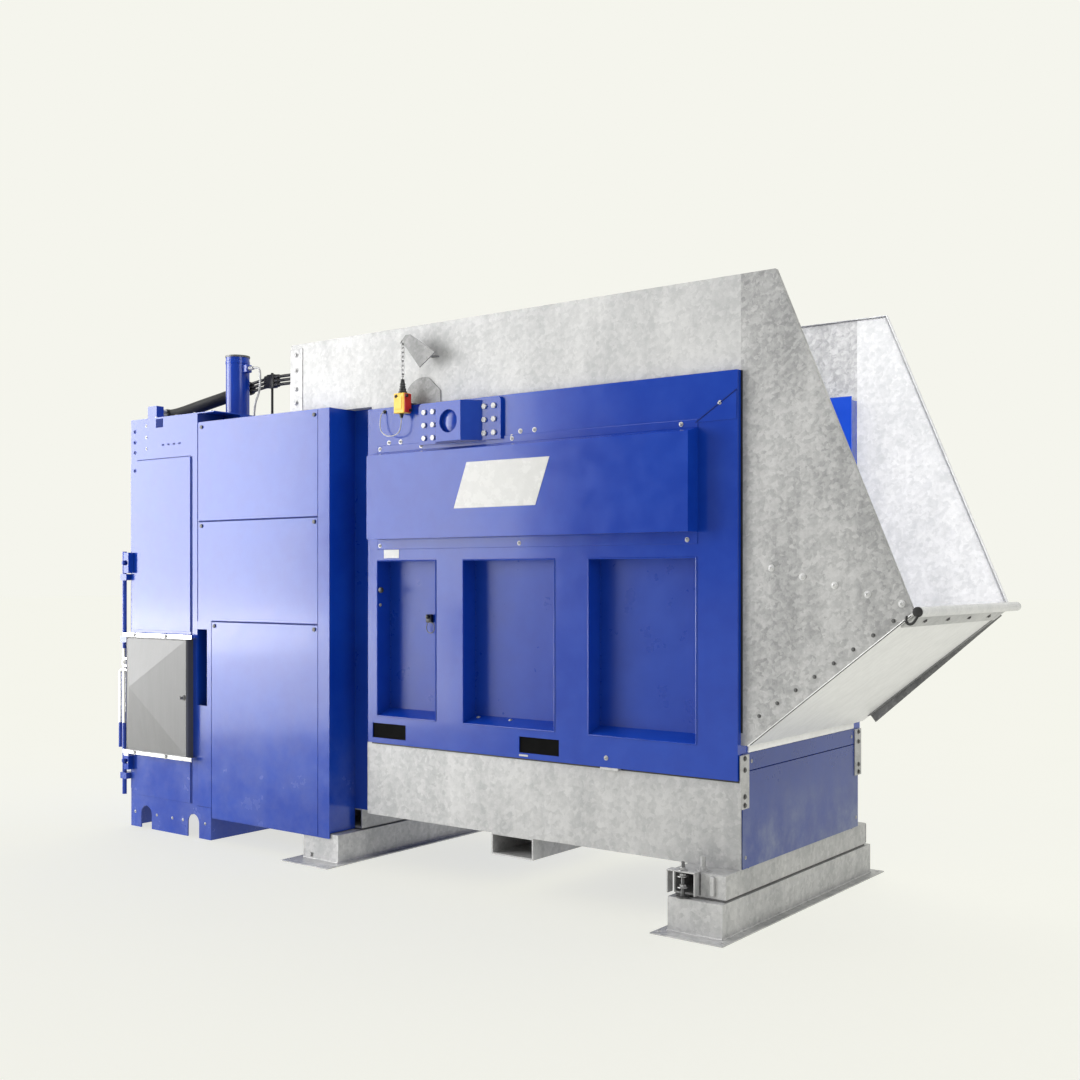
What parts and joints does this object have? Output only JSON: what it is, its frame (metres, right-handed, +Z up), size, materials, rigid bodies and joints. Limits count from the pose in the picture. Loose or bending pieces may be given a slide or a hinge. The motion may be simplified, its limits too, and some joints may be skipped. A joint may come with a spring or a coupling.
{
  "type": "recycling baler",
  "caption": "Recycling baler with a hopper, a swing-arm loader in a blue frame, an upright baling tower with two press cylinders, a bale door and a service cabinet",
  "frame": {"origin": "on the floor under the middle of the overall bounding box", "axes": "+X towards the hopper mouth, -Y towards the service side with the cabinet and the hood, +Z up"},
  "size_m": [5.2876, 1.79, 3.04],
  "materials": {
    "blue_paint": "gloss enamel",
    "zinc": "galvanised sheet",
    "bare_steel": "machined steel",
    "stainless": "brushed stainless sheet",
    "dark_steel": "satin black paint",
    "rod_chrome": "hard chrome",
    "hose_rubber": "satin rubber",
    "switch_yellow": "gloss yellow plastic",
    "lock_black": "matte black"
  },
  "bodies": {
    "frame": {"foot_left": "zinc", "foot_right": "zinc", "foot_pads": "dark_steel", "cross_members": "zinc", "fork_channel": "zinc", "beam_front": "zinc", "beam_rear": "zinc", "side_frame_front": "blue_paint", "side_frame_rear": "blue_paint", "chamber_wall_front": "blue_paint", "chamber_wall_rear": "blue_paint", "trough_floor": "blue_paint", "end_panels": "blue_paint", "splice_plates": "zinc", "hopper_side_front": "zinc", "hopper_side_rear": "zinc", "hopper_end": "zinc", "chute_side_front": "zinc", "chute_side_rear": "zinc", "chute_floor": "zinc", "chute_lip": "zinc", "bearing_front": "blue_paint", "bearing_rear": "blue_paint", "drive_cylinder": "dark_steel", "drive_cover": "blue_paint", "tower_base": "blue_paint", "tower_wall_front": "blue_paint", "tower_wall_rear": "blue_paint", "tower_floor": "blue_paint", "tower_inner_wall": "blue_paint", "tower_crosshead": "blue_paint", "tower_roof": "blue_paint", "press_cylinders": "blue_paint", "door_hinges": "zinc", "hood_tray": "dark_steel", "tower_brackets": "zinc", "cabinet_shell": "blue_paint", "cabinet_panel_top": "blue_paint", "cabinet_panel_middle": "blue_paint", "cabinet_panel_bottom": "blue_paint", "power_pack": "dark_steel", "pull_switch": "switch_yellow", "switch_brackets": "zinc", "hydraulic_hoses": "hose_rubber", "machine_bolts": "zinc"},
    "press": {"press_rods": "rod_chrome", "press_platen": "blue_paint"},
    "swing": {"swing_arm": "blue_paint", "swing_shaft": "bare_steel"},
    "drive": {"drive_rod": "rod_chrome"},
    "door": {"bale_door": "blue_paint"},
    "lock": {"lock_bar": "zinc"},
    "hood": {"hood_lid": "stainless"},
    "chain": {"pull_chain": "zinc"},
    "turn_1": {"panel_lock_1": "lock_black"},
    "turn_2": {"panel_lock_2": "lock_black"},
    "turn_3": {"panel_lock_3": "lock_black"},
    "turn_4": {"panel_lock_4": "lock_black"},
    "turn_5": {"panel_lock_5": "lock_black"},
    "turn_6": {"panel_lock_6": "lock_black"}
  },
  "joints": [
    {"name": "press_slide", "type": "slide", "parent": "frame", "child": "press", "axis": [0, 0, -1], "range_m": [0, 0.85]},
    {"name": "swing_turn", "type": "hinge", "parent": "frame", "child": "swing", "pos_m": [0.178, 0, 2.409], "axis": [0, 1, 0], "range_deg": [-60, 60]},
    {"name": "drive_slide", "type": "slide", "parent": "frame", "child": "drive", "axis": [-1, 0, 0], "range_m": [-0.33, 0.33]},
    {"name": "door_swing", "type": "hinge", "parent": "frame", "child": "door", "pos_m": [-2.56, 0.735, 1.285], "axis": [0, 0, -1], "range_deg": [0, 110]},
    {"name": "lock_turn", "type": "hinge", "parent": "door", "child": "lock", "pos_m": [-2.585, -0.79, 1], "axis": [0, 0, -1], "range_deg": [0, 90]},
    {"name": "hood_open", "type": "hinge", "parent": "frame", "child": "hood", "pos_m": [-2.519, -0.812, 0.857], "axis": [0, 0, -1], "range_deg": [0, 90]},
    {"name": "chain_pull", "type": "slide", "parent": "frame", "child": "chain", "axis": [0, 0, 1], "range_m": [0, 0.008], "stiffness_N_per_m": 2000, "springref_m": -0.002},
    {"name": "panel_turn_1", "type": "hinge", "parent": "frame", "child": "turn_1", "pos_m": [-1.824, -0.775, 2.518], "axis": [0, -1, 0], "range_deg": [0, 90]},
    {"name": "panel_turn_2", "type": "hinge", "parent": "frame", "child": "turn_2", "pos_m": [-0.826, -0.775, 2.518], "axis": [0, -1, 0], "range_deg": [0, 90]},
    {"name": "panel_turn_3", "type": "hinge", "parent": "frame", "child": "turn_3", "pos_m": [-1.824, -0.775, 1.913], "axis": [0, -1, 0], "range_deg": [0, 90]},
    {"name": "panel_turn_4", "type": "hinge", "parent": "frame", "child": "turn_4", "pos_m": [-0.826, -0.775, 1.913], "axis": [0, -1, 0], "range_deg": [0, 90]},
    {"name": "panel_turn_5", "type": "hinge", "parent": "frame", "child": "turn_5", "pos_m": [-1.702, -0.775, 1.304], "axis": [0, -1, 0], "range_deg": [0, 90]},
    {"name": "panel_turn_6", "type": "hinge", "parent": "frame", "child": "turn_6", "pos_m": [-0.826, -0.775, 1.304], "axis": [0, -1, 0], "range_deg": [0, 90]}
  ],
  "couplings": [
    {"joint": "drive_slide", "follows": "swing_turn", "m_per_rad": 0.3143}
  ]
}
